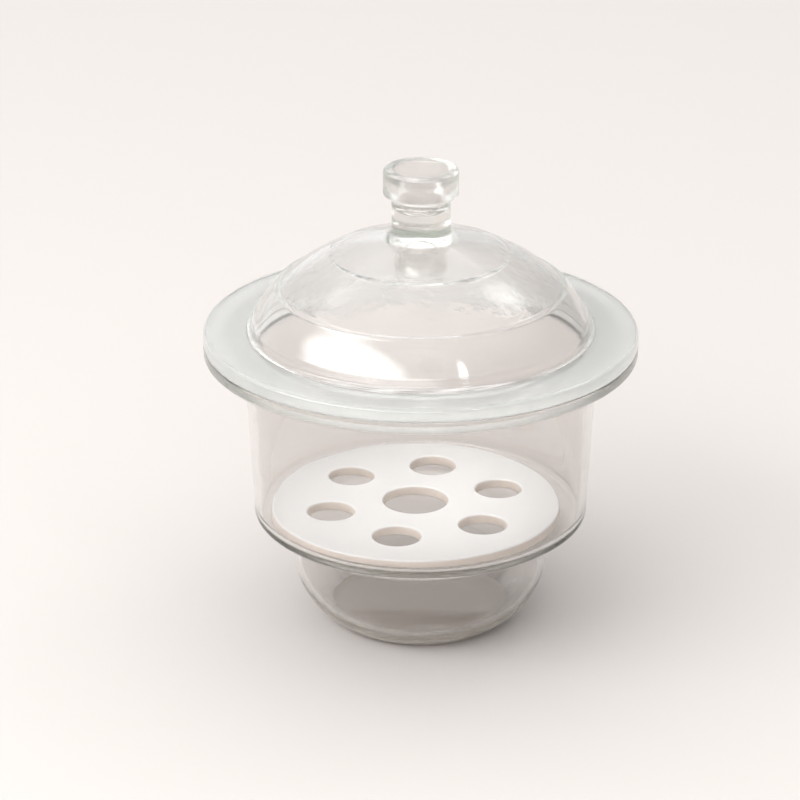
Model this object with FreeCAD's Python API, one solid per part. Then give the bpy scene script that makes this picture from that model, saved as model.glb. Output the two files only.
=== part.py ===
"""A glass desiccator: a stepped dome lid with a hollow knob, on a waisted base that holds a pierced porcelain plate.

The frame's origin is the centre of the underside, +Z is up, and Z is the axis of the glass. Lengths are in millimetres.
Each sub-part is a solid of revolution, written to parts/NODE.step.
"""
import FreeCAD
import Part

import math
import os

# ---- Driving dimensions ----------------------------------------------------------------------------------------
OVERALL_HEIGHT = 295.0
FLANGE_RADIUS = 134.0            # outside of both ground flanges
MOUTH_RADIUS = 104.2             # inner edge of both ground faces
JOINT_HEIGHT = 184.8             # ground face of the base
WALL = 5.0                       # glass thickness of the sides

# Base
BASE_FLANGE_THICKNESS = 8.1
RIM_WALL_RADIUS = 109.6          # outside of the wall where it meets the base flange
SHOULDER_RADIUS = 104.1          # outside of the wall at the ledge's outer corner
SHOULDER_HEIGHT = 70.2
LEDGE_SLOPE = math.radians(22.0)
LEDGE_THICKNESS = 4.3
BOWL_RADIUS = 80.3               # outside of the desiccant bowl at the waist
BOWL_SLOPE_HEIGHT = 18.0         # where the bowl's lower slope, carried on, would meet its upright side
BOWL_CURVE = 50.0                # outer radius of the bend between that slope and the side
BOWL_INNER_CURVE = 40.0
FLOOR_THICKNESS = 6.8
FLOOR_RADIUS = 54.0              # level part of the bowl's floor, inside
FOOT_RADIUS = 54.5               # where the underside turns up into the bowl
FOOT_RECESS_RADIUS = 20.0        # level middle of the shallow hollow in the underside
FOOT_RECESS_DEPTH = 1.2
FOOT_RING_RADIUS = 42.0          # inner edge of the level ring that it stands on

# Lid
LID_FLANGE_THICKNESS = 7.7
DOME_FOOT_RADIUS = 105.6         # outside of the dome where it leaves the flange
DOME_KNEE = (104.4, 199.2)       # top of the short, nearly upright wall
DOME_SIDE = (97.6, 209.8)        # apex of the steep side's slight bulge
DOME_SHOULDER = (89.5, 219.5)    # crease at the top of the steep side
SHOULDER_LIP = (86.6, 220.1)     # inner edge of the narrow lip above that crease
DOME_MIDDLE = (73.8, 232.0)      # apex of the middle zone's long curve
CROWN_STEP = (57.0, 240.0)       # foot of the low step between the middle zone and the crown
DOME_CROWN = (54.6, 241.6)       # top of that step
CROWN_SLOPE = math.radians(16.5)
CROWN_THICKNESS = 6.4
KNEE_INSET = (4.9, 2.2)          # from each outer corner of the dome to its inner one, inwards and downwards
SIDE_INSET = (4.2, 3.0)
SHOULDER_INSET = (3.6, 3.8)
MIDDLE_INSET = (2.7, 4.4)
CROWN_INSET = (1.8, 5.5)

# Knob
STEM_RADIUS = 18.0
STEM_FLARE = 8.0                 # radius of the sweep from the crown into the stem
COLLAR_RADIUS = 23.1
COLLAR_HEIGHT = 16.0
COLLAR_BEVEL = 2.6               # drop of the collar's underside, from its outside in to the stem
CUP_MOUTH_RADIUS = 16.4
CUP_RADIUS = 14.6
CUP_THROAT_DEPTH = 8.0           # from the top down to where the mouth's taper would meet the upright side
CUP_FLOOR_HEIGHT = 268.0

# Seal
GREASE_THICKNESS = 0.3
GREASE_INNER_MARGIN = 1.8        # the film stops short of the ground faces' rounded edges
GREASE_OUTER_MARGIN = 0.7

# Porcelain plate
PLATE_RADIUS = 90.5
PLATE_THICKNESS = 6.4
PLATE_EDGE_ROUND = 1.8
PLATE_OFFSET = 3.0               # the loose plate lies this far to the -X side
PLATE_CLEARANCE = 0.25           # between the plate's lower edge and the ledge
CENTRE_HOLE_RADIUS = 20.4
RING_HOLES = 6
RING_HOLE_RADIUS = 14.7
RING_HOLE_CIRCLE = 55.4
FIRST_HOLE_ANGLE = 18.0          # degrees from +X
HOLE_EDGE_ROUND = 0.9

# Roundings
FLANGE_FACE_EDGE = 0.4           # edges of the ground faces
FLANGE_FREE_EDGE = 2.6
MOUTH_EDGE = 1.2
FILLET = 5.0                     # where a wall meets a flange or turns into the ledge


# ---- Outlines --------------------------------------------------------------------------------------------------
def point(radius, height):
    """A point of an outline, in the XZ plane."""
    return FreeCAD.Vector(radius, 0.0, height)


def rounded_outline(corners):
    """A closed wire through corners (radius, height, rounding); a rounding over 0 is a tangent arc of that radius."""
    bends = []
    for i, (radius, height, rounding) in enumerate(corners):
        corner = point(radius, height)
        back = (point(*corners[i - 1][:2]) - corner).normalize()
        ahead = (point(*corners[(i + 1) % len(corners)][:2]) - corner).normalize()
        half_angle = back.getAngle(ahead) / 2
        reach = rounding / math.tan(half_angle)
        start = corner + back * reach
        end = corner + ahead * reach
        middle = corner
        if rounding:
            middle = corner + (back + ahead).normalize() * (rounding / math.sin(half_angle) - rounding)
        bends.append((start, middle, end, ahead))
    edges = []
    for i, (start, middle, end, ahead) in enumerate(bends):
        if corners[i][2]:
            edges.append(Part.Arc(start, middle, end).toShape())
        next_start = bends[(i + 1) % len(bends)][0]
        assert (next_start - end).dot(ahead) > 0, f"no room for the roundings after corner {corners[i]}"
        edges.append(Part.LineSegment(end, next_start).toShape())
    return Part.Wire(edges)


def turned(corners):
    """The solid that an outline sweeps round the Z axis."""
    face = Part.Face(rounded_outline(corners))
    return face.revolve(FreeCAD.Vector(0, 0, 0), FreeCAD.Vector(0, 0, 1), 360)


def inset(corner, by):
    """The inner corner that belongs to an outer corner of the dome."""
    return corner[0] - by[0], corner[1] - by[1]


def ledge_underside(radius):
    """Height of the ledge's outer face."""
    return SHOULDER_HEIGHT - (SHOULDER_RADIUS - radius) * math.tan(LEDGE_SLOPE)


def ledge_top(radius):
    """Height of the ledge's inner face, which carries the plate."""
    return ledge_underside(radius) + LEDGE_THICKNESS / math.cos(LEDGE_SLOPE)


# ---- Sub-parts -------------------------------------------------------------------------------------------------
def glass_base():
    """The jar: foot, desiccant bowl, sloping ledge, drafted wall and ground flange, in one piece of glass."""
    flange_underside = JOINT_HEIGHT - BASE_FLANGE_THICKNESS
    bowl_inside = BOWL_RADIUS - WALL
    wall_inside = SHOULDER_RADIUS - WALL
    outside = [
        (0.0, FOOT_RECESS_DEPTH, 0.0),
        (FOOT_RECESS_RADIUS, FOOT_RECESS_DEPTH, 80.0),
        (FOOT_RING_RADIUS, 0.0, 20.0),
        (FOOT_RADIUS, 0.0, 16.0),
        (BOWL_RADIUS, BOWL_SLOPE_HEIGHT, BOWL_CURVE),
        (BOWL_RADIUS, ledge_underside(BOWL_RADIUS), 6.0),
        (SHOULDER_RADIUS, SHOULDER_HEIGHT, FILLET),
        (RIM_WALL_RADIUS, flange_underside, FILLET),
        (FLANGE_RADIUS, flange_underside, FLANGE_FREE_EDGE),
        (FLANGE_RADIUS, JOINT_HEIGHT, FLANGE_FACE_EDGE),
    ]
    inside = [
        (MOUTH_RADIUS, JOINT_HEIGHT, MOUTH_EDGE),
        (wall_inside, ledge_top(wall_inside), 7.0),
        (bowl_inside, ledge_top(bowl_inside), 4.0),
        (bowl_inside, BOWL_SLOPE_HEIGHT + 3.5, BOWL_INNER_CURVE),
        (FLOOR_RADIUS, FLOOR_THICKNESS, 10.0),
        (0.0, FLOOR_THICKNESS, 0.0),
    ]
    return turned(outside + inside)


def glass_lid():
    """The lid: ground flange, stepped dome, and stem with a hollow collared knob, in one piece of glass."""
    underside = JOINT_HEIGHT + GREASE_THICKNESS
    flange_top = underside + LID_FLANGE_THICKNESS
    collar_underside = OVERALL_HEIGHT - COLLAR_HEIGHT
    crown_rise = math.tan(CROWN_SLOPE)
    stem_foot = DOME_CROWN[1] + (DOME_CROWN[0] - STEM_RADIUS) * crown_rise
    crown_apex = DOME_CROWN[1] + DOME_CROWN[0] * crown_rise
    dome = [
        (FLANGE_RADIUS, underside, FLANGE_FACE_EDGE),
        (FLANGE_RADIUS, flange_top, FLANGE_FREE_EDGE),
        (DOME_FOOT_RADIUS, flange_top, 3.6),
        (*DOME_KNEE, 7.0),
        (*DOME_SIDE, 110.0),
        (*DOME_SHOULDER, 1.6),
        (*SHOULDER_LIP, 3.0),
        (*DOME_MIDDLE, 105.0),
        (*CROWN_STEP, 3.0),
        (*DOME_CROWN, 3.0),
    ]
    knob = [
        (STEM_RADIUS, stem_foot, STEM_FLARE),
        (STEM_RADIUS, collar_underside - COLLAR_BEVEL, 1.5),
        (COLLAR_RADIUS, collar_underside, 1.8),
        (COLLAR_RADIUS, OVERALL_HEIGHT, 2.4),
        (CUP_MOUTH_RADIUS, OVERALL_HEIGHT, 2.2),
        (CUP_RADIUS, OVERALL_HEIGHT - CUP_THROAT_DEPTH, 10.0),
        (CUP_RADIUS, CUP_FLOOR_HEIGHT, 7.0),
        (0.0, CUP_FLOOR_HEIGHT, 0.0),
    ]
    inside = [
        (0.0, crown_apex - CROWN_THICKNESS, 0.0),
        (*inset(DOME_CROWN, CROWN_INSET), 8.0),
        (*inset(DOME_MIDDLE, MIDDLE_INSET), 120.0),
        (*inset(DOME_SHOULDER, SHOULDER_INSET), 5.0),
        (*inset(DOME_SIDE, SIDE_INSET), 100.0),
        (*inset(DOME_KNEE, KNEE_INSET), 7.0),
        (MOUTH_RADIUS, underside, MOUTH_EDGE),
    ]
    return turned(dome + knob + inside)


def joint_grease():
    """The film of grease that seals the ground joint."""
    inner = MOUTH_RADIUS + GREASE_INNER_MARGIN
    outer = FLANGE_RADIUS - GREASE_OUTER_MARGIN
    top = JOINT_HEIGHT + GREASE_THICKNESS
    return turned([
        (inner, JOINT_HEIGHT, 0.0),
        (outer, JOINT_HEIGHT, 0.0),
        (outer, top, 0.0),
        (inner, top, 0.0),
    ])


def hole_places():
    """Where the plate's holes are, from its centre: (x, y, radius)."""
    places = [(0.0, 0.0, CENTRE_HOLE_RADIUS)]
    for i in range(RING_HOLES):
        angle = math.radians(FIRST_HOLE_ANGLE + i * 360.0 / RING_HOLES)
        places.append((RING_HOLE_CIRCLE * math.cos(angle), RING_HOLE_CIRCLE * math.sin(angle), RING_HOLE_RADIUS))
    return places


def porcelain_plate():
    """The loose plate that carries the samples, resting by its lower edge on the sloping ledge."""
    plate = turned([
        (0.0, 0.0, 0.0),
        (PLATE_RADIUS, 0.0, PLATE_EDGE_ROUND),
        (PLATE_RADIUS, PLATE_THICKNESS, PLATE_EDGE_ROUND),
        (0.0, PLATE_THICKNESS, 0.0),
    ])
    for x, y, radius in hole_places():
        plate = plate.cut(Part.makeCylinder(radius, PLATE_THICKNESS, FreeCAD.Vector(x, y, 0)))
    rims = [
        edge for edge in plate.Edges
        if isinstance(edge.Curve, Part.Circle) and edge.Curve.Radius <= CENTRE_HOLE_RADIUS
    ]
    plate = plate.makeFillet(HOLE_EDGE_ROUND, rims)
    contact_radius = PLATE_RADIUS + PLATE_OFFSET - PLATE_EDGE_ROUND * (1 - math.sin(LEDGE_SLOPE))
    contact_height = PLATE_EDGE_ROUND * (1 - math.cos(LEDGE_SLOPE))
    underside = ledge_top(contact_radius) - contact_height + PLATE_CLEARANCE / math.cos(LEDGE_SLOPE)
    plate.translate(FreeCAD.Vector(-PLATE_OFFSET, 0.0, underside))
    return plate


def main():
    parts = {
        "glass_base": glass_base(),
        "glass_lid": glass_lid(),
        "joint_grease": joint_grease(),
        "porcelain_plate": porcelain_plate(),
    }
    os.makedirs("parts", exist_ok=True)
    for name, shape in parts.items():
        assert shape.isValid() and shape.Volume > 0, name
        shape.exportStep(f"parts/{name}.step")
        box = shape.BoundBox
        print(f"{name}: {len(shape.Solids)} solid, {shape.Volume / 1000:.1f} cm3, z {box.ZMin:.2f} to {box.ZMax:.2f}")


main()
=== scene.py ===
"""The looks of the glass desiccator: clear pressed glass, a greased ground joint and a porcelain plate.

Lengths in the outlines are millimetres; the meshes are in metres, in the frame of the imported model.
"""
import math

import bmesh
import bpy
from mathutils import Matrix, Vector


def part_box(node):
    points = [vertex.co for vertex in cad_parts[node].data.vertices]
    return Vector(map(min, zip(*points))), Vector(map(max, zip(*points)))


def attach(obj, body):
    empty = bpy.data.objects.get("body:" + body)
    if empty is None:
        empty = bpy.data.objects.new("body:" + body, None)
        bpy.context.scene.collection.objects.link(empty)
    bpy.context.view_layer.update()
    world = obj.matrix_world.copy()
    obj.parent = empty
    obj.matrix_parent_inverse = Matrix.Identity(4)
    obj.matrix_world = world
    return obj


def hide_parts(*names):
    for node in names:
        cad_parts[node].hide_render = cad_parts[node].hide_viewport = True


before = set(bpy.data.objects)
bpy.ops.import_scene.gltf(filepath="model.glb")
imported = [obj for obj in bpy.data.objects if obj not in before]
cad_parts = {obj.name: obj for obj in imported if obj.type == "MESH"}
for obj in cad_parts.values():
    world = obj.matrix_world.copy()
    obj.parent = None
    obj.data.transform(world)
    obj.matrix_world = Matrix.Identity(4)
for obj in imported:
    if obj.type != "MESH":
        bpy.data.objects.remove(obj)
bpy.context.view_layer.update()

MM = 0.001

# ---- Sizes, from the frame -----------------------------------------------------------------------
BASE_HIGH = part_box("glass_base")[1]
LID_LOW, LID_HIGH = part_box("glass_lid")
GREASE_LOW, GREASE_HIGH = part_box("joint_grease")
PLATE_LOW, PLATE_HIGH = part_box("porcelain_plate")

JOINT_HEIGHT = BASE_HIGH[2] / MM         # ground face of the base
LID_UNDERSIDE = LID_LOW[2] / MM          # ground face of the lid
TOP = LID_HIGH[2] / MM
FLANGE_RADIUS = BASE_HIGH[0] / MM

# ---- Sizes of the glass --------------------------------------------------------------------------
MOUTH_RADIUS = 104.2                     # inner edge of both ground faces
WALL = 5.0
FILLET = 5.0
FLANGE_FACE_EDGE = 0.4
FLANGE_FREE_EDGE = 2.6
MOUTH_EDGE = 1.2
GROUND_FACE_DEPTH = 0.02                 # a ground face takes in what lies this near its level
GROUND_AND_PAINTED_FOOT_HEIGHT = 2.5                 # the underside is ground up to here, and coloured pale and warm as painted light on the shaded bowl bottom

BASE_FLANGE = 8.1                        # thickness of the base's flange
RIM_WALL_RADIUS = 109.6
SHOULDER = (104.1, 70.2)                 # outer corner of the ledge: radius, height
LEDGE_SLOPE = math.radians(22.0)
LEDGE_THICKNESS = 4.3
BOWL_RADIUS = 80.3
BOWL_SLOPE_HEIGHT = 18.0                 # where the outer slope, carried on, would meet the upright side
BOWL_SLOPE_STEP = 3.5                    # how much higher the inner slope meets it
BOWL_CURVE = 50.0
BOWL_INNER_CURVE = 40.0
BOWL_FLOOR = (54.0, 6.8)                 # outer corner of the floor inside: radius, height
FOOT_RADIUS = 54.5
FOOT_RECESS = (20.0, 1.2)                # level middle of the hollow: radius, depth
FOOT_RING_RADIUS = 42.0                  # inner edge of the ring that it stands on
WALL_RIPPLE = 0.10                       # how far the blown wall strays, at most about twice this

LID_FLANGE = 7.7
DOME_FOOT_RADIUS = 105.6
DOME_KNEE = (104.4, 199.2)
DOME_SIDE = (97.6, 209.8)
DOME_SHOULDER = (89.5, 219.5)
SHOULDER_LIP = (86.6, 220.1)
DOME_MIDDLE = (73.8, 232.0)
CROWN_STEP = (57.0, 240.0)
DOME_CROWN = (54.6, 241.6)
CROWN_SLOPE = math.radians(16.5)
CROWN_THICKNESS = 6.4
KNEE_INSET = (4.9, 2.2)
SIDE_INSET = (4.2, 3.0)
SHOULDER_INSET = (3.6, 3.8)
MIDDLE_INSET = (2.7, 4.4)
CROWN_INSET = (1.8, 5.5)
DOME_RIPPLE = 0.09

STEM_RADIUS = 18.0
STEM_FLARE = 8.0
COLLAR_RADIUS = 23.1
COLLAR_HEIGHT = 16.0
COLLAR_BEVEL = 2.6
CUP_MOUTH_RADIUS = 16.4
CUP_RADIUS = 14.6
CUP_THROAT_DEPTH = 8.0
CUP_FLOOR_HEIGHT = 268.0

# ---- Sizes of the plate --------------------------------------------------------------------------
PLATE_BEVEL = 1.1
PLATE_BEVEL_STEPS = 4
CIRCLE_STEPS = 24                        # straight stretches in each quarter of a circle
GLAZE_AND_SHADE_SLOPE = 0.35                      # faces whose normal rises more than this are glazed; the rest are painted darker and warmer, as shade
CENTRE_HOLE_RADIUS = 20.4
RING_HOLES = 6
RING_HOLE_RADIUS = 14.7
RING_HOLE_CIRCLE = 55.4
FIRST_HOLE_ANGLE = 18.0                  # degrees from +X

# ---- Sizes of the grease -------------------------------------------------------------------------
GREASE_GAP = 0.05                        # to each ground face, so that no two surfaces lie in one plane
GREASE_MARGIN = 1.8                      # from the mouth's edge to the film
GREASE_WANDER = 0.7                      # how far the film's inner edge strays, and the outer one half as far

# ---- Fineness of the meshes ----------------------------------------------------------------------
SEGMENTS = 240                           # round each turned piece
STEP = 2.0                               # longest straight stretch between an outline's points
END_STEP = 0.25                          # a straight run's first and last step, which keep its ends crisp
SAME_POINT = 1e-6                        # a run shorter than this has no length
ARC_STEP = math.radians(9.0)             # turn of an arc between two points

# ---- Glass ---------------------------------------------------------------------------------------
GLASS_IOR = 1.51
GLASS_COLOUR = (0.860, 0.841, 0.832)     # tint of its surfaces
GLASS_TINT = (0.76, 0.86, 0.73)          # colour of its volume
GLASS_DENSITY = 5.0                      # how strongly the volume absorbs, per metre
NOISE_MIDDLE = (0.3, 0.7)                # where nearly all of a noise's values lie

# ---- Where the glass's finish changes: start and end of each blend, in metres above the bench ----
LEDGE_DULL_FROM = (0.050, 0.064)
LEDGE_DULL_TO = (0.074, 0.084)
LEDGE_ROUGHNESS = 0.17
BASE_FLANGE_DULL_FROM = (0.170, 0.178)
BASE_FLANGE_ROUGHNESS = 0.2
LID_FLANGE_DULL_TO = (0.190, 0.203)
LID_FLANGE_ROUGHNESS = 0.15
DOME_WAVES_FROM = (0.192, 0.204)
PRESSED_FROM = (0.218, 0.222)
PRESSED_ROUGHNESS = (0.06, 0.17)         # it varies in patches
WRINKLES_TO = (0.236, 0.241)
COLLAR_DULL_FROM = (0.262, 0.284)
COLLAR_ROUGHNESS = 0.10                  # on top of the pressed glass's own

# ---- Where the grease is thin: start and end of each blend, in metres from the axis --------------
THIN_GREASE_FROM = (0.112, 0.119)
THIN_GREASE_TO = (0.119, 0.128)
THIN_GREASE_WANDER = 0.006

# ---- Studio, in metres ---------------------------------------------------------------------------
FLOOR_SIZE = 12.0
FLOOR_CENTRE_Y = 2.0
FLOOR_GAP = 0.3 * MM                     # below the foot, so that glass and floor don't lie in one plane
FLOOR_COLOUR = (0.386, 0.364, 0.350)
LAMP_DISTANCE = 3.0                      # from the middle of the joint
LAMP_SIDES = 64
LAMP_FADE = 0.5                          # share of a lamp's radius over which it fades to nothing
CAMERA_LENS = 144.9                      # focal length in millimetres
CAMERA_AIM = (-0.01275, 0.0, 0.1431)     # the point it looks at
CAMERA_DISTANCE = 2.003                  # from that point
CAMERA_ELEVATION = math.radians(22.76)


# ---- Turned meshes -------------------------------------------------------------------------------
def smooth_outline(corners):
    """Points (radius, height) along corners (radius, height, rounding), which are rounded by arcs."""
    points = [Vector(corners[0][:2])]
    for i in range(1, len(corners) - 1):
        corner = Vector(corners[i][:2])
        back = (Vector(corners[i - 1][:2]) - corner).normalized()
        ahead = (Vector(corners[i + 1][:2]) - corner).normalized()
        rounding = corners[i][2]
        half_angle = back.angle(ahead) / 2
        turn = math.pi - 2 * half_angle
        start = corner + back * rounding / math.tan(half_angle)
        centre = corner + (back + ahead).normalized() * rounding / math.sin(half_angle)
        side = math.copysign(1.0, back.cross(ahead))
        steps = max(2, math.ceil(turn / ARC_STEP), math.ceil(turn * rounding / STEP))
        add_run(points, start)
        for k in range(1, steps + 1):
            angle = -side * turn * k / steps
            arm = start - centre
            points.append(centre + Vector((
                arm.x * math.cos(angle) - arm.y * math.sin(angle),
                arm.x * math.sin(angle) + arm.y * math.cos(angle),
            )))
    add_run(points, Vector(corners[-1][:2]))
    return points


def add_run(points, end):
    """Adds a straight run to the outline, with a short step at each end."""
    start = points[-1]
    length = (end - start).length
    if length < SAME_POINT:
        return
    margin = min(END_STEP, length / 4)
    count = max(1, math.ceil((length - 2 * margin) / STEP))
    marks = [margin + (length - 2 * margin) * k / count for k in range(count + 1)]
    for mark in marks + [length]:
        points.append(start.lerp(end, mark / length))


def join_rings(mesh, one, other):
    """Adds a band of faces between two rings of points."""
    for k in range(SEGMENTS):
        after = (k + 1) % SEGMENTS
        mesh.faces.new((one[k], one[after], other[after], other[k]))


def new_piece(name, data):
    """An object with this mesh, in the scene."""
    piece = bpy.data.objects.new(name, data)
    bpy.context.scene.collection.objects.link(piece)
    return piece


def finished_piece(name, mesh):
    """The object of a bmesh, with its faces turned outwards."""
    bmesh.ops.recalc_face_normals(mesh, faces=mesh.faces)
    data = bpy.data.meshes.new(name)
    mesh.to_mesh(data)
    mesh.free()
    return new_piece(name, data)


def turned_piece(name, corners, ripple):
    """A closed piece swept round Z by an outline that starts and ends on the axis.

    ripple(angle, radius, height) says how far out each point is moved.
    """
    outline = smooth_outline(corners)
    mesh = bmesh.new()
    rings = []
    for radius, height in outline[1:-1]:
        ring = []
        for k in range(SEGMENTS):
            angle = 2 * math.pi * k / SEGMENTS
            reach = radius + ripple(angle, radius, height)
            place = Vector((reach * math.cos(angle), reach * math.sin(angle), height))
            ring.append(mesh.verts.new(place * MM))
        rings.append(ring)
    for one, other in zip(rings, rings[1:]):
        join_rings(mesh, one, other)
    for ring, height in ((rings[0], outline[0].y), (rings[-1], outline[-1].y)):
        pole = mesh.verts.new((0.0, 0.0, height * MM))
        for k in range(SEGMENTS):
            mesh.faces.new((ring[k], ring[(k + 1) % SEGMENTS], pole))
    piece = finished_piece(name, mesh)
    piece.data.shade_smooth()
    return piece


def paint_between(piece, low, high, slot):
    """Gives the material slot to every face between the two heights."""
    for face in piece.data.polygons:
        if low * MM < face.center.z < high * MM:
            face.material_index = slot


# ---- Glass base ----------------------------------------------------------------------------------
def ledge_underside(radius):
    return SHOULDER[1] - (SHOULDER[0] - radius) * math.tan(LEDGE_SLOPE)


def ledge_top(radius):
    return ledge_underside(radius) + LEDGE_THICKNESS / math.cos(LEDGE_SLOPE)


def base_outline():
    """Corners from the middle of the underside, up the outside, over the ground face and down inside."""
    flange_underside = JOINT_HEIGHT - BASE_FLANGE
    wall_inside = SHOULDER[0] - WALL
    bowl_inside = BOWL_RADIUS - WALL
    return [
        (0.0, FOOT_RECESS[1]),
        (*FOOT_RECESS, 80.0),
        (FOOT_RING_RADIUS, 0.0, 20.0),
        (FOOT_RADIUS, 0.0, 16.0),
        (BOWL_RADIUS, BOWL_SLOPE_HEIGHT, BOWL_CURVE),
        (BOWL_RADIUS, ledge_underside(BOWL_RADIUS), 6.0),
        (*SHOULDER, FILLET),
        (RIM_WALL_RADIUS, flange_underside, FILLET),
        (FLANGE_RADIUS, flange_underside, FLANGE_FREE_EDGE),
        (FLANGE_RADIUS, JOINT_HEIGHT, FLANGE_FACE_EDGE),
        (MOUTH_RADIUS, JOINT_HEIGHT, MOUTH_EDGE),
        (wall_inside, ledge_top(wall_inside), 7.0),
        (bowl_inside, ledge_top(bowl_inside), 4.0),
        (bowl_inside, BOWL_SLOPE_HEIGHT + BOWL_SLOPE_STEP, BOWL_INNER_CURVE),
        (*BOWL_FLOOR, 10.0),
        (0.0, BOWL_FLOOR[1]),
    ]


def fade(value, start, end):
    """0 before start, 1 after end, smooth between."""
    share = min(max((value - start) / (end - start), 0.0), 1.0)
    return share * share * (3 - 2 * share)


def base_ripple(angle, radius, height):
    """The slight unevenness of a blown wall: nothing at the foot, the flange and the axis."""
    amount = fade(height, 2.0, 14.0) * (1 - fade(height, JOINT_HEIGHT - 26.0, JOINT_HEIGHT - 12.0))
    amount *= fade(radius, 50.0, 66.0)
    waves = math.sin(3 * angle + 0.021 * height) + 0.6 * math.sin(7 * angle - 0.055 * height + 1.3)
    return WALL_RIPPLE * amount * (waves + 0.5 * math.sin(0.19 * height + 2 * angle))


def make_base():
    piece = turned_piece("base_glass", base_outline(), base_ripple)
    piece.data.materials.append(clear_glass("base_glass"))
    piece.data.materials.append(ground_glass())
    piece.data.materials.append(ground_foot_painted_light())
    paint_between(piece, JOINT_HEIGHT - GROUND_FACE_DEPTH, JOINT_HEIGHT + GROUND_FACE_DEPTH, 1)
    # The foot's underside: ground, and painted pale and warm as light on the shaded bottom of the bowl.
    paint_between(piece, -GROUND_FACE_DEPTH, GROUND_AND_PAINTED_FOOT_HEIGHT, 2)
    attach(piece, "base")
    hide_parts("glass_base")


# ---- Glass lid -----------------------------------------------------------------------------------
def inset(corner, by):
    return corner[0] - by[0], corner[1] - by[1]


def lid_outline():
    """Corners from under the crown, down the inside, over the ground face and up the dome into the cup."""
    flange_top = LID_UNDERSIDE + LID_FLANGE
    collar_underside = TOP - COLLAR_HEIGHT
    crown_rise = math.tan(CROWN_SLOPE)
    crown_apex = DOME_CROWN[1] + DOME_CROWN[0] * crown_rise
    return [
        (0.0, crown_apex - CROWN_THICKNESS),
        (*inset(DOME_CROWN, CROWN_INSET), 8.0),
        (*inset(DOME_MIDDLE, MIDDLE_INSET), 120.0),
        (*inset(DOME_SHOULDER, SHOULDER_INSET), 5.0),
        (*inset(DOME_SIDE, SIDE_INSET), 100.0),
        (*inset(DOME_KNEE, KNEE_INSET), 7.0),
        (MOUTH_RADIUS, LID_UNDERSIDE, MOUTH_EDGE),
        (FLANGE_RADIUS, LID_UNDERSIDE, FLANGE_FACE_EDGE),
        (FLANGE_RADIUS, flange_top, FLANGE_FREE_EDGE),
        (DOME_FOOT_RADIUS, flange_top, 3.6),
        (*DOME_KNEE, 7.0),
        (*DOME_SIDE, 110.0),
        (*DOME_SHOULDER, 1.6),
        (*SHOULDER_LIP, 3.0),
        (*DOME_MIDDLE, 105.0),
        (*CROWN_STEP, 3.0),
        (*DOME_CROWN, 3.0),
        (STEM_RADIUS, crown_apex - STEM_RADIUS * crown_rise, STEM_FLARE),
        (STEM_RADIUS, collar_underside - COLLAR_BEVEL, 1.5),
        (COLLAR_RADIUS, collar_underside, 1.8),
        (COLLAR_RADIUS, TOP, 2.4),
        (CUP_MOUTH_RADIUS, TOP, 2.2),
        (CUP_RADIUS, TOP - CUP_THROAT_DEPTH, 10.0),
        (CUP_RADIUS, CUP_FLOOR_HEIGHT, 7.0),
        (0.0, CUP_FLOOR_HEIGHT),
    ]


def lid_ripple(angle, radius, height):
    """The slight unevenness of a pressed dome: nothing at the flange and little at the knob."""
    amount = fade(height, LID_UNDERSIDE + 12.0, LID_UNDERSIDE + 24.0) * (0.4 + 0.6 * fade(radius, 22.0, 40.0))
    amount *= fade(radius, 4.0, 12.0)
    waves = math.sin(4 * angle + 0.5) + 0.5 * math.sin(9 * angle + 0.08 * height)
    return DOME_RIPPLE * amount * (waves + 0.4 * math.sin(0.23 * radius + 3 * angle))


def make_lid():
    piece = turned_piece("lid_glass", lid_outline(), lid_ripple)
    piece.data.materials.append(pressed_glass("lid_glass"))
    piece.data.materials.append(ground_glass())
    paint_between(piece, LID_UNDERSIDE - GROUND_FACE_DEPTH, LID_UNDERSIDE + GROUND_FACE_DEPTH, 1)
    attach(piece, "lid")
    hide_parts("glass_lid")


# ---- Porcelain plate -----------------------------------------------------------------------------
def circle_spline(curve, x, y, radius):
    """Adds a closed Bezier circle to a flat curve."""
    handle = radius * 4 / 3 * math.tan(math.pi / 8)
    spline = curve.splines.new("BEZIER")
    spline.bezier_points.add(3)
    spline.use_cyclic_u = True
    spline.resolution_u = CIRCLE_STEPS
    for k, knot in enumerate(spline.bezier_points):
        angle = k * math.pi / 2
        out = Vector((math.cos(angle), math.sin(angle), 0.0))
        along = Vector((-out.y, out.x, 0.0))
        knot.co = Vector((x, y, 0.0)) + out * radius
        knot.handle_left = knot.co - along * handle
        knot.handle_right = knot.co + along * handle


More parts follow.
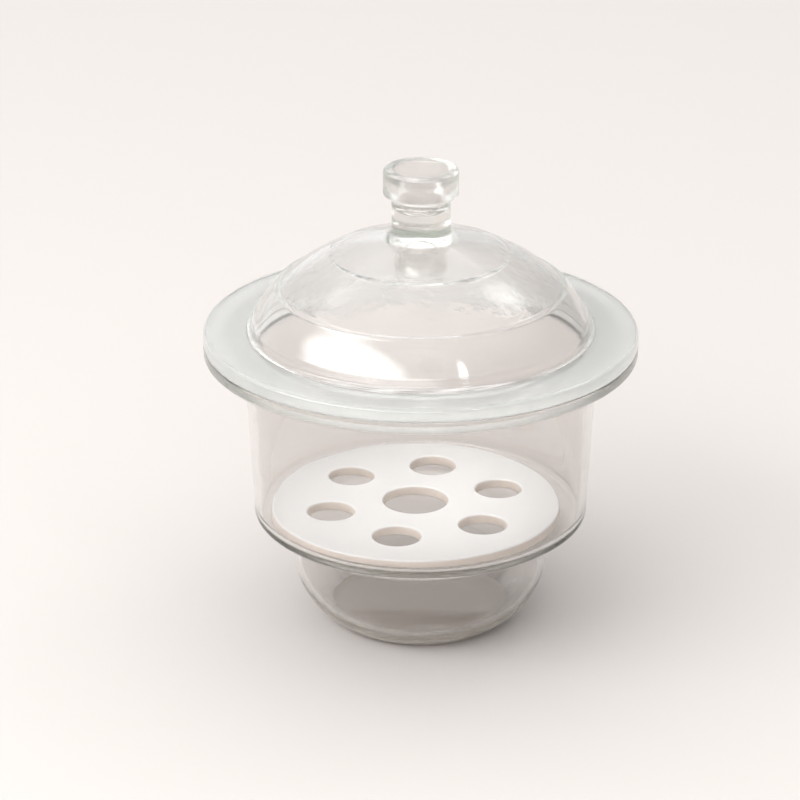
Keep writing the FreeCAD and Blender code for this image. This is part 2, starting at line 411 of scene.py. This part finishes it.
def make_plate():
    """A pierced disc: circles filled between, with every edge rounded."""
    middle = (Vector(PLATE_LOW) + Vector(PLATE_HIGH)) / 2
    thickness = PLATE_HIGH[2] - PLATE_LOW[2]
    radius = (PLATE_HIGH[0] - PLATE_LOW[0]) / 2
    bevel = PLATE_BEVEL * MM
    curve = bpy.data.curves.new("plate_outline", "CURVE")
    curve.dimensions = "2D"
    curve.fill_mode = "BOTH"
    curve.extrude = thickness / 2 - bevel
    curve.bevel_depth = bevel
    curve.bevel_resolution = PLATE_BEVEL_STEPS
    curve.offset = -bevel
    circle_spline(curve, 0.0, 0.0, radius)
    circle_spline(curve, 0.0, 0.0, CENTRE_HOLE_RADIUS * MM)
    for i in range(RING_HOLES):
        angle = math.radians(FIRST_HOLE_ANGLE + i * 360.0 / RING_HOLES)
        reach = RING_HOLE_CIRCLE * MM
        circle_spline(curve, reach * math.cos(angle), reach * math.sin(angle), RING_HOLE_RADIUS * MM)
    outline = bpy.data.objects.new("plate_outline", curve)
    data = bpy.data.meshes.new_from_object(outline)
    bpy.data.objects.remove(outline)
    data.transform(Matrix.Translation(middle))
    data.name = "plate_porcelain"
    data.materials.clear()
    data.materials.append(glazed_porcelain())
    data.materials.append(shaded_bare_porcelain())
    # Faces that don't face up (the rim, the holes, the underside) get the second slot: matt biscuit, painted
    # darker and warmer as shade.
    for face in data.polygons:
        face.use_smooth = True
        face.material_index = 0 if face.normal.z > GLAZE_AND_SHADE_SLOPE else 1
    piece = new_piece("plate_porcelain", data)
    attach(piece, "plate")
    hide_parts("porcelain_plate")


# ---- Grease --------------------------------------------------------------------------------------
def make_grease():
    """A thin ring with edges that wander, as a smear squeezed between two plates has."""
    low = GREASE_LOW[2] + GREASE_GAP * MM
    high = GREASE_HIGH[2] - GREASE_GAP * MM
    inner = MOUTH_RADIUS + GREASE_MARGIN
    outer = GREASE_HIGH[0] / MM - GREASE_WANDER / 2
    mesh = bmesh.new()
    rings = [[], [], [], []]
    for k in range(SEGMENTS):
        angle = 2 * math.pi * k / SEGMENTS
        wander = GREASE_WANDER * (0.6 * math.sin(5 * angle) + 0.4 * math.sin(13 * angle + 1.0))
        near = (inner - wander) * MM
        far = (outer + wander / 2) * MM
        for ring, radius, height in zip(rings, (near, far, far, near), (low, low, high, high)):
            ring.append(mesh.verts.new((radius * math.cos(angle), radius * math.sin(angle), height)))
    for one, other in zip(rings, rings[1:] + rings[:1]):
        join_rings(mesh, one, other)
    piece = finished_piece("grease_film", mesh)
    piece.data.materials.append(grease_material())
    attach(piece, "seal")
    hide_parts("joint_grease")


# ---- Materials -----------------------------------------------------------------------------------
class Surface:
    """A node material with its Principled shader, and short ways to add procedural detail to it."""

    def __init__(self, name):
        self.material = bpy.data.materials.new(name)
        self.material.use_nodes = True
        self.nodes = self.material.node_tree.nodes
        self.links = self.material.node_tree.links
        self.shader = self.nodes["Principled BSDF"]
        self.place = self.nodes.new("ShaderNodeTexCoord").outputs["Object"]

    def set(self, **values):
        """Sets the shader's sockets, which are named with _ for a space."""
        for socket, value in values.items():
            self.shader.inputs[socket.replace("_", " ")].default_value = value

    def noise(self, size, detail=2.0, stretch=(1.0, 1.0, 1.0)):
        """Noise whose lumps are about size millimetres across, drawn out along an axis by its stretch."""
        mapping = self.nodes.new("ShaderNodeMapping")
        mapping.inputs["Scale"].default_value = [1 / s for s in stretch]
        noise = self.nodes.new("ShaderNodeTexNoise")
        noise.inputs["Scale"].default_value = 1 / (size * MM)
        noise.inputs["Detail"].default_value = detail
        self.links.new(self.place, mapping.inputs["Vector"])
        self.links.new(mapping.outputs["Vector"], noise.inputs["Vector"])
        return noise.outputs["Fac"]

    def radius(self):
        """Distance from the axis, in metres."""
        flat = self.nodes.new("ShaderNodeVectorMath")
        flat.operation = "MULTIPLY"
        flat.inputs[1].default_value = (1.0, 1.0, 0.0)
        length = self.nodes.new("ShaderNodeVectorMath")
        length.operation = "LENGTH"
        self.links.new(self.place, flat.inputs[0])
        self.links.new(flat.outputs["Vector"], length.inputs[0])
        return length.outputs["Value"]

    def height(self):
        """Height above the bench at rest, in metres."""
        split = self.nodes.new("ShaderNodeSeparateXYZ")
        self.links.new(self.place, split.inputs[0])
        return split.outputs["Z"]

    def spread(self, value, from_range, to_range):
        """The value, brought smoothly from one range to the other."""
        spread = self.nodes.new("ShaderNodeMapRange")
        spread.interpolation_type = "SMOOTHSTEP"
        spread.inputs["From Min"].default_value, spread.inputs["From Max"].default_value = from_range
        spread.inputs["To Min"].default_value, spread.inputs["To Max"].default_value = to_range
        self.links.new(value, spread.inputs["Value"])
        return spread.outputs["Result"]

    def math(self, operation, one, other):
        node = self.nodes.new("ShaderNodeMath")
        node.operation = operation
        for socket, value in zip(node.inputs, (one, other)):
            if isinstance(value, float):
                socket.default_value = value
            else:
                self.links.new(value, socket)
        return node.outputs["Value"]

    def colour(self, value, low, high):
        """Links the base colour to a blend of two colours by the value."""
        mix = self.nodes.new("ShaderNodeMix")
        mix.data_type = "RGBA"
        mix.inputs["A"].default_value = (*low, 1.0)
        mix.inputs["B"].default_value = (*high, 1.0)
        self.links.new(value, mix.inputs["Factor"])
        self.links.new(mix.outputs["Result"], self.shader.inputs["Base Color"])

    def link(self, value, socket):
        self.links.new(value, self.shader.inputs[socket])

    def vary_roughness(self, size, detail, low, high):
        """Varies the roughness from low to high in lumps about size millimetres across."""
        self.link(self.spread(self.noise(size, detail), NOISE_MIDDLE, (low, high)), "Roughness")

    def bump(self, value, depth):
        """Raises the surface by the value times a depth in millimetres."""
        bump = self.nodes.new("ShaderNodeBump")
        bump.inputs["Strength"].default_value = 1.0
        bump.inputs["Distance"].default_value = depth * MM
        self.links.new(value, bump.inputs["Height"])
        self.links.new(bump.outputs["Normal"], self.shader.inputs["Normal"])

    def absorb(self, colour, density):
        """Tints the inside, so that thick glass looks greener than thin."""
        volume = self.nodes.new("ShaderNodeVolumeAbsorption")
        volume.inputs["Color"].default_value = (*colour, 1.0)
        volume.inputs["Density"].default_value = density
        self.links.new(volume.outputs["Volume"], self.nodes["Material Output"].inputs["Volume"])


def clear_glass(name):
    """Soda-lime glass: clear in the wall, with drawn-out waves, and dulled at the ledge and the flange."""
    surface = Surface(name)
    surface.set(Base_Color=(*GLASS_COLOUR, 1.0), IOR=GLASS_IOR, Transmission_Weight=1.0)
    height = surface.height()
    flange = surface.spread(height, BASE_FLANGE_DULL_FROM, (0.0, BASE_FLANGE_ROUGHNESS))
    ledge = surface.spread(height, LEDGE_DULL_FROM, (0.0, LEDGE_ROUGHNESS))
    below_wall = surface.spread(height, LEDGE_DULL_TO, (1.0, 0.0))
    surface.link(surface.math("ADD", flange, surface.math("MULTIPLY", ledge, below_wall)), "Roughness")
    surface.bump(surface.noise(26.0, 1.0, (1.0, 1.0, 2.5)), 0.05)
    surface.absorb(GLASS_TINT, GLASS_DENSITY)
    return surface.material


def pressed_glass(name):
    """The lid's glass: clear on the dome's side, and above its shoulder hazed and wrinkled by the press."""
    surface = Surface(name)
    surface.set(Base_Color=(*GLASS_COLOUR, 1.0), IOR=GLASS_IOR, Transmission_Weight=1.0)
    height = surface.height()
    pressed = surface.spread(height, PRESSED_FROM, (0.0, 1.0))
    patches = surface.spread(surface.noise(30.0, 3.0), (0.35, 0.65), PRESSED_ROUGHNESS)
    collar = surface.spread(height, COLLAR_DULL_FROM, (0.0, COLLAR_ROUGHNESS))
    flange = surface.spread(height, LID_FLANGE_DULL_TO, (LID_FLANGE_ROUGHNESS, 0.0))
    haze = surface.math("MULTIPLY", pressed, patches)
    surface.link(surface.math("ADD", haze, surface.math("ADD", collar, flange)), "Roughness")
    below_crown = surface.spread(height, WRINKLES_TO, (1.0, 0.0))
    band = surface.math("MULTIPLY", pressed, below_crown)
    wrinkles = surface.math("MULTIPLY", surface.noise(7.0, 3.0), band)
    above_flange = surface.spread(height, DOME_WAVES_FROM, (0.0, 0.16))
    waves = surface.math("MULTIPLY", surface.noise(26.0, 1.0), above_flange)
    surface.bump(surface.math("ADD", wrinkles, waves), 0.24)
    surface.absorb(GLASS_TINT, GLASS_DENSITY)
    return surface.material


def ground_glass():
    """The fine-ground face of a flange, which scatters what passes: milky, with the grain of the grinding."""
    surface = Surface("ground_glass")
    surface.set(IOR=GLASS_IOR, Transmission_Weight=0.7)
    surface.colour(surface.noise(6.0, 3.0), (0.81, 0.815, 0.81), (0.87, 0.875, 0.87))
    surface.vary_roughness(0.8, 2.0, 0.42, 0.6)
    surface.bump(surface.noise(0.5, 2.0), 0.02)
    return surface.material


def ground_foot_painted_light():
    """The underside of the foot, ground more coarsely than the joint and dulled by standing on benches; its
    pale, warm, mostly diffuse colour is painted light on the shaded bottom of the bowl.
    """
    surface = Surface("ground_foot_painted_light")
    # painted light: little transmission and a pale warm colour brighten what would be shade under the bowl
    surface.set(IOR=GLASS_IOR, Transmission_Weight=0.15)
    surface.colour(surface.noise(9.0, 3.0), (0.96, 0.90, 0.85), (0.99, 0.93, 0.88))
    surface.vary_roughness(1.5, 2.0, 0.5, 0.7)
    surface.bump(surface.noise(0.8, 2.0), 0.03)
    return surface.material


def grease_material():
    """A translucent smear, thinner and greyer in a wandering band part of the way across the joint."""
    surface = Surface("grease")
    surface.set(Transmission_Weight=0.4)
    wander = surface.math("MULTIPLY", surface.noise(14.0, 3.0), THIN_GREASE_WANDER)
    place = surface.math("ADD", surface.radius(), wander)
    rising = surface.spread(place, THIN_GREASE_FROM, (0.0, 1.0))
    falling = surface.spread(place, THIN_GREASE_TO, (1.0, 0.0))
    surface.colour(surface.math("MULTIPLY", rising, falling), (0.93, 0.925, 0.92), (0.70, 0.695, 0.69))
    surface.vary_roughness(4.0, 3.0, 0.32, 0.5)
    surface.bump(surface.noise(3.0, 2.0), 0.05)
    return surface.material


def glazed_porcelain():
    """White glaze: glossy, and faintly uneven in its colour, gloss and surface."""
    surface = Surface("glazed_porcelain")
    surface.set(IOR=1.5, Coat_Weight=0.3, Coat_Roughness=0.08)
    surface.colour(surface.noise(16.0, 3.0), (0.945, 0.95, 0.955), (0.965, 0.968, 0.972))
    surface.vary_roughness(9.0, 2.0, 0.14, 0.24)
    surface.bump(surface.noise(3.5, 2.0), 0.02)
    return surface.material


def shaded_bare_porcelain():
    """Rim, holes and underside: matt and fine-grained as unglazed biscuit, and painted darker and warmer than
    the glaze as shade.
    """
    surface = Surface("shaded_bare_porcelain")
    surface.set(Specular_IOR_Level=0.3)
    # painted shade: these faces are coloured darker and warmer than the glazed top
    surface.colour(surface.noise(2.5, 4.0), (0.88, 0.78, 0.70), (0.95, 0.88, 0.82))
    surface.vary_roughness(1.2, 2.0, 0.6, 0.85)
    surface.bump(surface.noise(0.7, 3.0), 0.05)
    return surface.material


# ---- Studio --------------------------------------------------------------------------------------
def make_floor():
    """A plain pale floor that reaches past the picture's edges."""
    bpy.ops.mesh.primitive_plane_add(size=FLOOR_SIZE, location=(0.0, FLOOR_CENTRE_Y, -FLOOR_GAP))
    floor = bpy.context.object
    floor.name = "floor"
    surface = Surface("floor")
    surface.set(Base_Color=(*FLOOR_COLOUR, 1.0), Roughness=0.9, Specular_IOR_Level=0.1)
    floor.data.materials.append(surface.material)


def make_world():
    """A studio that is brightest overhead, white behind the object, and dimmer in front and to the right.

    Its strength is a ramp along X times one along Y, plus one along Z.
    """
    world = bpy.data.worlds.new("studio")
    bpy.context.scene.world = world
    world.use_nodes = True
    nodes, links = world.node_tree.nodes, world.node_tree.links
    split = nodes.new("ShaderNodeSeparateXYZ")
    links.new(nodes.new("ShaderNodeTexCoord").outputs["Generated"], split.inputs[0])
    total = nodes.new("ShaderNodeMath")
    total.operation = "MULTIPLY_ADD"
    for socket, axis, from_range, to_range in (
        (total.inputs[0], "X", (-0.4, 0.8), (1.2, 0.55)),
        (total.inputs[1], "Y", (-0.7, 0.3), (0.8, 1.0)),
        (total.inputs[2], "Z", (0.3, 1.0), (0.0, 1.85)),
    ):
        ramp = nodes.new("ShaderNodeMapRange")
        ramp.interpolation_type = "SMOOTHSTEP"
        ramp.inputs["From Min"].default_value, ramp.inputs["From Max"].default_value = from_range
        ramp.inputs["To Min"].default_value, ramp.inputs["To Max"].default_value = to_range
        links.new(split.outputs[axis], ramp.inputs["Value"])
        links.new(ramp.outputs["Result"], socket)
    links.new(total.outputs["Value"], nodes["Background"].inputs["Strength"])
    nodes["Background"].inputs["Color"].default_value = (1.0, 1.0, 1.0, 1.0)


def softbox(name, azimuth, elevation, width, height, radiance):
    """An oval lamp that faces the object and fades out towards its rim.

    Azimuth 0 is the camera's side and 90 is +X, both angles are in degrees, and width and height in metres.
    It stands further away than any camera.
    """
    around, up = math.radians(azimuth), math.radians(elevation)
    away = Vector((math.sin(around) * math.cos(up), -math.cos(around) * math.cos(up), math.sin(up)))
    bpy.ops.mesh.primitive_circle_add(vertices=LAMP_SIDES, radius=1.0, fill_type="NGON")
    lamp = bpy.context.object
    lamp.name = name
    lamp.scale = (width / 2, height / 2, 1.0)
    lamp.location = Vector((0.0, 0.0, JOINT_HEIGHT * MM)) + away * LAMP_DISTANCE
    lamp.rotation_euler = away.to_track_quat("Z", "Y").to_euler()
    surface = Surface(name)
    length = surface.nodes.new("ShaderNodeVectorMath")
    length.operation = "LENGTH"
    surface.links.new(surface.place, length.inputs[0])
    glow = surface.nodes.new("ShaderNodeEmission")
    glow.inputs["Strength"].default_value = radiance
    mix = surface.nodes.new("ShaderNodeMixShader")
    clear = surface.nodes.new("ShaderNodeBsdfTransparent")
    share = surface.spread(length.outputs["Value"], (1.0 - LAMP_FADE, 1.0), (1.0, 0.0))
    surface.links.new(share, mix.inputs["Fac"])
    surface.links.new(clear.outputs["BSDF"], mix.inputs[1])
    surface.links.new(glow.outputs["Emission"], mix.inputs[2])
    surface.links.new(mix.outputs["Shader"], surface.nodes["Material Output"].inputs["Surface"])
    surface.nodes.remove(surface.shader)
    lamp.data.materials.append(surface.material)


def make_lights():
    softbox("key", -50.0, 37.0, 5.8, 1.8, 8.6)
    softbox("strip", 31.5, 37.0, 0.34, 1.1, 10.5)
    softbox("front", -8.0, 26.0, 3.0, 1.2, 6.3)
    softbox("back", 180.0, 43.0, 2.6, 0.5, 2.5)
    softbox("back_left", -125.0, 51.0, 1.0, 1.0, 4.0)
    softbox("back_right", 129.0, 48.0, 1.2, 1.2, 4.6)


def make_camera():
    """A long lens, a little above the object, with the object slightly right of centre."""
    data = bpy.data.cameras.new("camera")
    data.lens = CAMERA_LENS
    camera = bpy.data.objects.new("camera", data)
    bpy.context.scene.collection.objects.link(camera)
    back = -CAMERA_DISTANCE * math.cos(CAMERA_ELEVATION)
    up = CAMERA_DISTANCE * math.sin(CAMERA_ELEVATION)
    camera.location = Vector(CAMERA_AIM) + Vector((0.0, back, up))
    camera.rotation_euler = (math.pi / 2 - CAMERA_ELEVATION, 0.0, 0.0)
    bpy.context.scene.camera = camera


def set_render_paths():
    """Enough bounces for light to cross every wall of glass."""
    scene = bpy.context.scene
    scene.view_settings.view_transform = "Standard"
    scene.cycles.max_bounces = 28
    scene.cycles.transmission_bounces = 28
    scene.cycles.glossy_bounces = 12
    scene.cycles.diffuse_bounces = 5
    scene.cycles.transparent_max_bounces = 16


# ---- The object ----------------------------------------------------------------------------------
make_camera()
make_base()
make_lid()
make_plate()
make_grease()
make_floor()
make_world()
make_lights()
set_render_paths()
